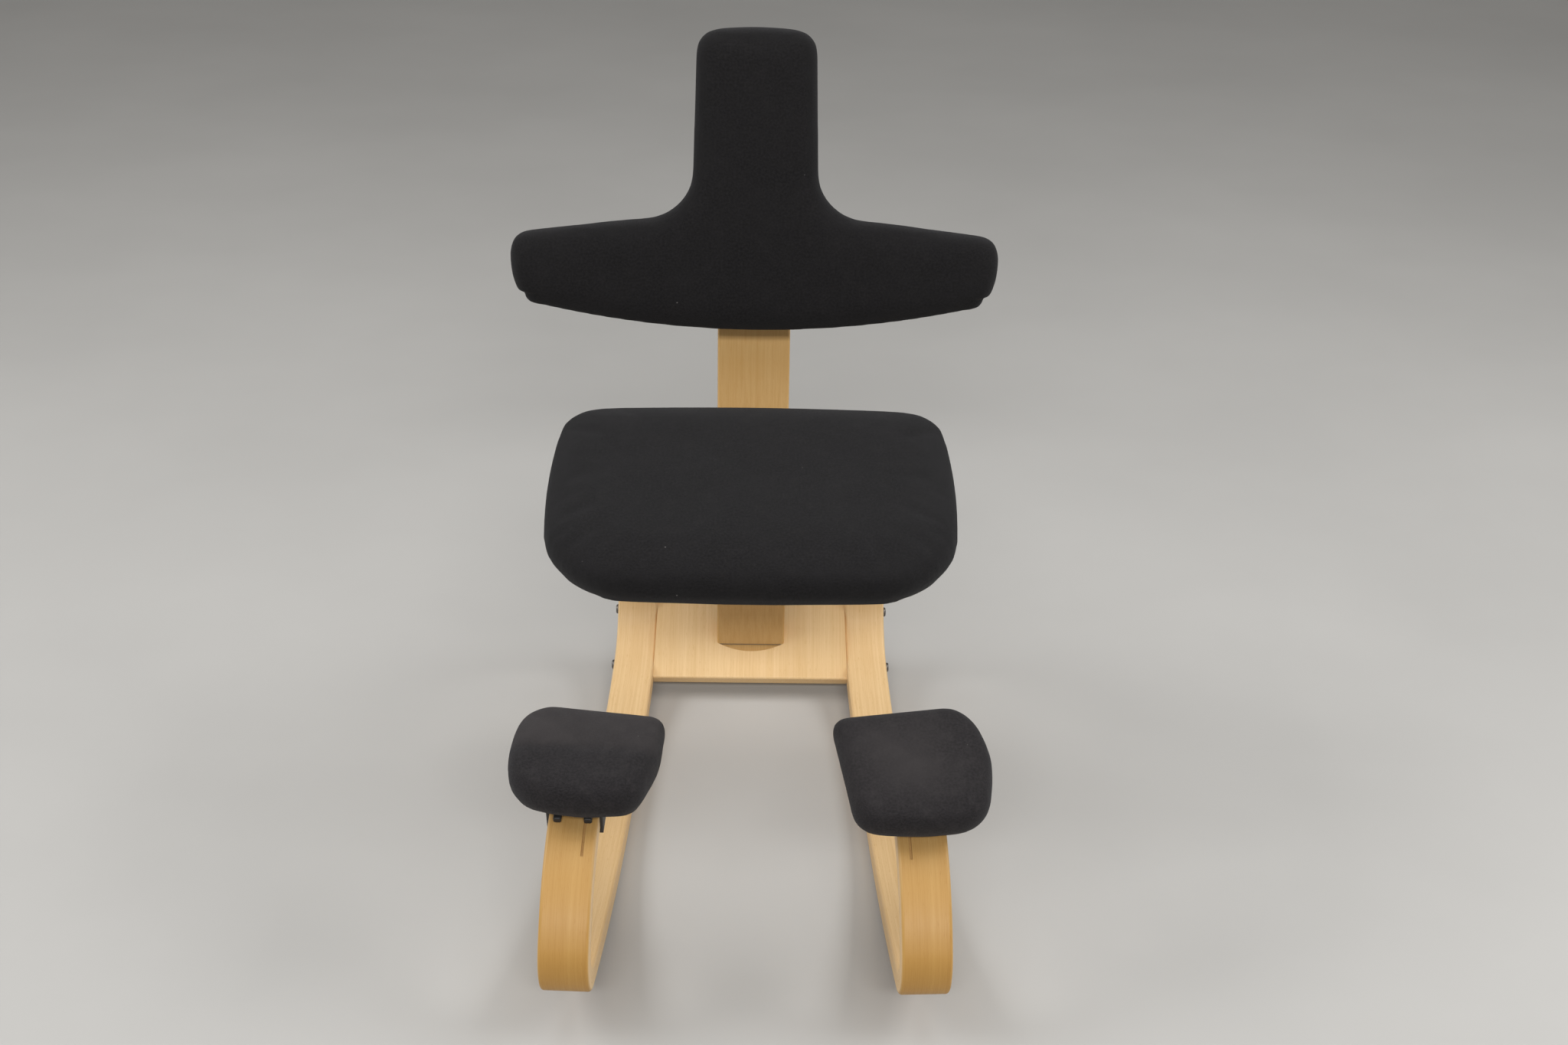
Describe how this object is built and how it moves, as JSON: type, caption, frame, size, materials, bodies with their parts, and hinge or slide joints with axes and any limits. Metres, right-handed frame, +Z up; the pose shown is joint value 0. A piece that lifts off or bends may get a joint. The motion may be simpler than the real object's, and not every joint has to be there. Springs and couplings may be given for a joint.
{
  "type": "rocking kneeling chair",
  "caption": "Kneeling chair with bent wooden rocker runners, an upholstered seat, padded knee rests and a winged backrest on a wooden stem.",
  "frame": {"origin": "on the floor under the middle of the chair: halfway between the runners, and halfway from the noses to the rear bends", "axes": "+Z up, -Y the way the sitter faces, +X to the right as seen from the front"},
  "size_m": [0.6, 0.8604, 0.9534],
  "materials": {
    "laminated_wood": "satin lacquer",
    "plywood": "bare, hidden",
    "upholstery": "woven wool-like cover",
    "black_steel": "matt powder coat",
    "zinc_steel": "zinc plated",
    "bolt_heads": "dark plated",
    "black_plastic": "fine texture"
  },
  "bodies": {
    "frame": {"runner_left": "laminated_wood", "runner_right": "laminated_wood", "crossboard": "laminated_wood", "crossboard_bolts": "bolt_heads", "crossboard_barrel_nuts": "zinc_steel", "stem": "laminated_wood", "stem_bracket": "zinc_steel", "stem_bracket_screws": "zinc_steel", "seat_rail_front": "laminated_wood", "seat_rail_rear": "laminated_wood", "seat_rail_bolts": "zinc_steel", "seat_board": "plywood", "seat_board_screws": "zinc_steel", "seat_cushion": "upholstery"},
    "backrest": {"backrest_carrier": "black_steel", "backrest_spacer": "laminated_wood", "backrest_shell": "plywood", "backrest_cushion": "upholstery", "backrest_screws": "zinc_steel", "backrest_clamp_bolt": "zinc_steel", "backrest_washer": "zinc_steel"},
    "backrest_knob": {"backrest_knob": "black_plastic"},
    "knee_slide_left": {"knee_saddle_left": "black_steel", "knee_pin_left": "zinc_steel", "knee_clamp_screw_left": "zinc_steel"},
    "knee_knob_left": {"knee_knob_left": "black_plastic"},
    "knee_pad_left": {"knee_hinge_left": "black_steel", "knee_hinge_screws_left": "zinc_steel", "knee_board_left": "plywood", "knee_cushion_left": "upholstery"},
    "knee_slide_right": {"knee_saddle_right": "black_steel", "knee_pin_right": "zinc_steel", "knee_clamp_screw_right": "zinc_steel"},
    "knee_knob_right": {"knee_knob_right": "black_plastic"},
    "knee_pad_right": {"knee_hinge_right": "black_steel", "knee_hinge_screws_right": "zinc_steel", "knee_board_right": "plywood", "knee_cushion_right": "upholstery"}
  },
  "joints": [
    {"name": "backrest_height", "type": "slide", "parent": "frame", "child": "backrest", "axis": [0, 0.0802, 0.9968], "range_m": [-0.05, 0.09]},
    {"name": "backrest_knob_turn", "type": "hinge", "parent": "backrest", "child": "backrest_knob", "pos_m": [0, 0.32835, 0.67987], "axis": [0, 0.9968, -0.0802], "continuous": true},
    {"name": "knee_slide_left_travel", "type": "hinge", "parent": "frame", "child": "knee_slide_left", "pos_m": [-0.1902, -0.25699, 0.0409], "axis": [0.999, -0.0454, 0], "range_deg": [-3, 14]},
    {"name": "knee_pad_left_tilt", "type": "hinge", "parent": "knee_slide_left", "child": "knee_pad_left", "pos_m": [-0.19083, -0.27086, 0.23932], "axis": [0.999, -0.0454, 0], "range_deg": [-15, 17]},
    {"name": "knee_knob_left_turn", "type": "hinge", "parent": "knee_slide_left", "child": "knee_knob_left", "pos_m": [-0.19069, -0.26772, 0.19439], "axis": [0.0032, 0.0697, -0.9976], "continuous": true},
    {"name": "knee_slide_right_travel", "type": "hinge", "parent": "frame", "child": "knee_slide_right", "pos_m": [0.1902, -0.25699, 0.0409], "axis": [0.999, 0.0454, 0], "range_deg": [-3, 14]},
    {"name": "knee_pad_right_tilt", "type": "hinge", "parent": "knee_slide_right", "child": "knee_pad_right", "pos_m": [0.19083, -0.27086, 0.23932], "axis": [0.999, 0.0454, 0], "range_deg": [-29, 3]},
    {"name": "knee_knob_right_turn", "type": "hinge", "parent": "knee_slide_right", "child": "knee_knob_right", "pos_m": [0.19069, -0.26772, 0.19439], "axis": [-0.0032, 0.0697, -0.9976], "continuous": true}
  ]
}
